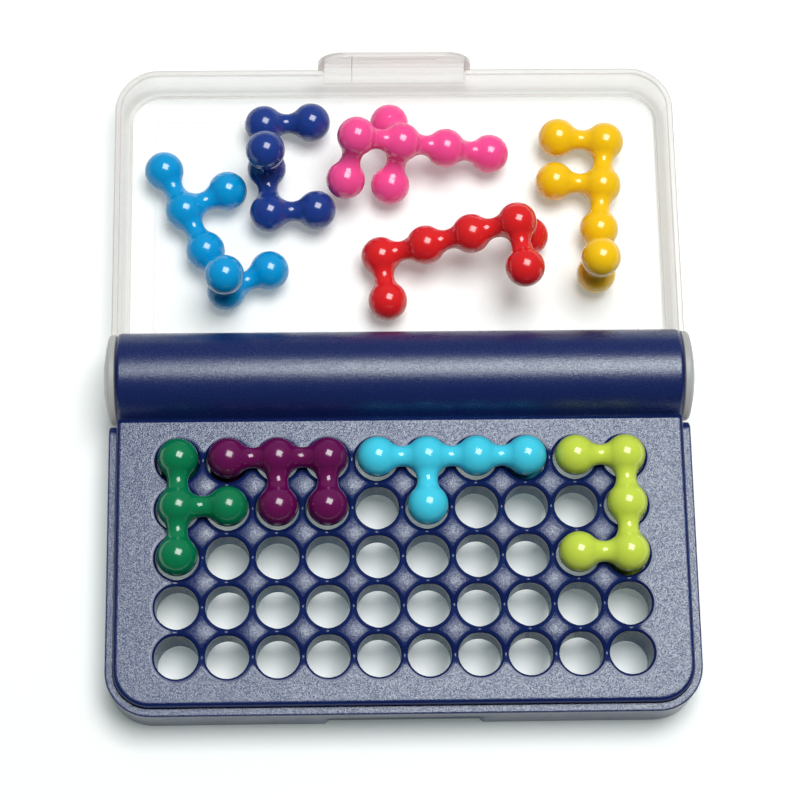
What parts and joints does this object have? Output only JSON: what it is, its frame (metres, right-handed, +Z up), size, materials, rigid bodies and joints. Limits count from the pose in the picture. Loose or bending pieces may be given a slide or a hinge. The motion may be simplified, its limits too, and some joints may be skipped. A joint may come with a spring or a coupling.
{
  "type": "logic puzzle game",
  "caption": "Pocket logic puzzle in a hinged case: bored navy board with a round hinge barrel, clear snap lid and coloured pieces of linked balls.",
  "frame": {"origin": "bottom centre of the open case's box, on the table", "axes": "+X to the right along the hinge, +Y from the front wall over the hinge to the lid's far wall, +Z up from the table"},
  "size_m": [0.144, 0.1682, 0.0236],
  "materials": {
    "frame_plastic": "gloss",
    "board_plastic": "spark-eroded grain on the top faces, gloss in the bores",
    "lid_plastic": "clear, slightly milky",
    "green_plastic": "gloss",
    "purple_plastic": "gloss",
    "cyan_plastic": "gloss",
    "lime_plastic": "gloss",
    "sky_plastic": "gloss",
    "blue_plastic": "gloss",
    "yellow_plastic": "gloss",
    "red_plastic": "gloss",
    "pink_plastic": "gloss"
  },
  "bodies": {
    "case": {"base_frame": "frame_plastic", "board": "board_plastic"},
    "lid": {"lid": "lid_plastic"},
    "green_piece": {"green_piece": "green_plastic"},
    "purple_piece": {"purple_piece": "purple_plastic"},
    "cyan_piece": {"cyan_piece": "cyan_plastic"},
    "lime_piece": {"lime_piece": "lime_plastic"},
    "sky_piece": {"sky_piece": "sky_plastic"},
    "blue_piece": {"blue_piece": "blue_plastic"},
    "yellow_piece": {"yellow_piece": "yellow_plastic"},
    "red_piece": {"red_piece": "red_plastic"},
    "pink_piece": {"pink_piece": "pink_plastic"}
  },
  "joints": [
    {"name": "lid_hinge", "type": "hinge", "parent": "case", "child": "lid", "pos_m": [0, -0.00088, 0.0121], "axis": [1, 0, 0], "range_deg": [0, 180]},
    {"name": "green_lift", "type": "slide", "parent": "case", "child": "green_piece", "axis": [0, 0, 1], "range_m": [0, 0.045]},
    {"name": "purple_lift", "type": "slide", "parent": "case", "child": "purple_piece", "axis": [0, 0, 1], "range_m": [0, 0.045]},
    {"name": "cyan_lift", "type": "slide", "parent": "case", "child": "cyan_piece", "axis": [0, 0, 1], "range_m": [0, 0.045]},
    {"name": "lime_lift", "type": "slide", "parent": "case", "child": "lime_piece", "axis": [0, 0, 1], "range_m": [0, 0.045]},
    {"name": "sky_lift", "type": "slide", "parent": "case", "child": "sky_piece", "axis": [0, 0, 1], "range_m": [0, 0.393]},
    {"name": "blue_lift", "type": "slide", "parent": "case", "child": "blue_piece", "axis": [0, 0, 1], "range_m": [0, 0.393]},
    {"name": "yellow_lift", "type": "slide", "parent": "case", "child": "yellow_piece", "axis": [0, 0, 1], "range_m": [0, 0.393]},
    {"name": "red_lift", "type": "slide", "parent": "case", "child": "red_piece", "axis": [0, 0, 1], "range_m": [0, 0.393]},
    {"name": "pink_lift", "type": "slide", "parent": "case", "child": "pink_piece", "axis": [0, 0, 1], "range_m": [0, 0.393]}
  ],
  "couplings": [
    {"joint": "sky_lift", "follows": "lid_hinge", "m_per_rad": 0.125},
    {"joint": "blue_lift", "follows": "lid_hinge", "m_per_rad": 0.125},
    {"joint": "yellow_lift", "follows": "lid_hinge", "m_per_rad": 0.125},
    {"joint": "red_lift", "follows": "lid_hinge", "m_per_rad": 0.125},
    {"joint": "pink_lift", "follows": "lid_hinge", "m_per_rad": 0.125}
  ]
}
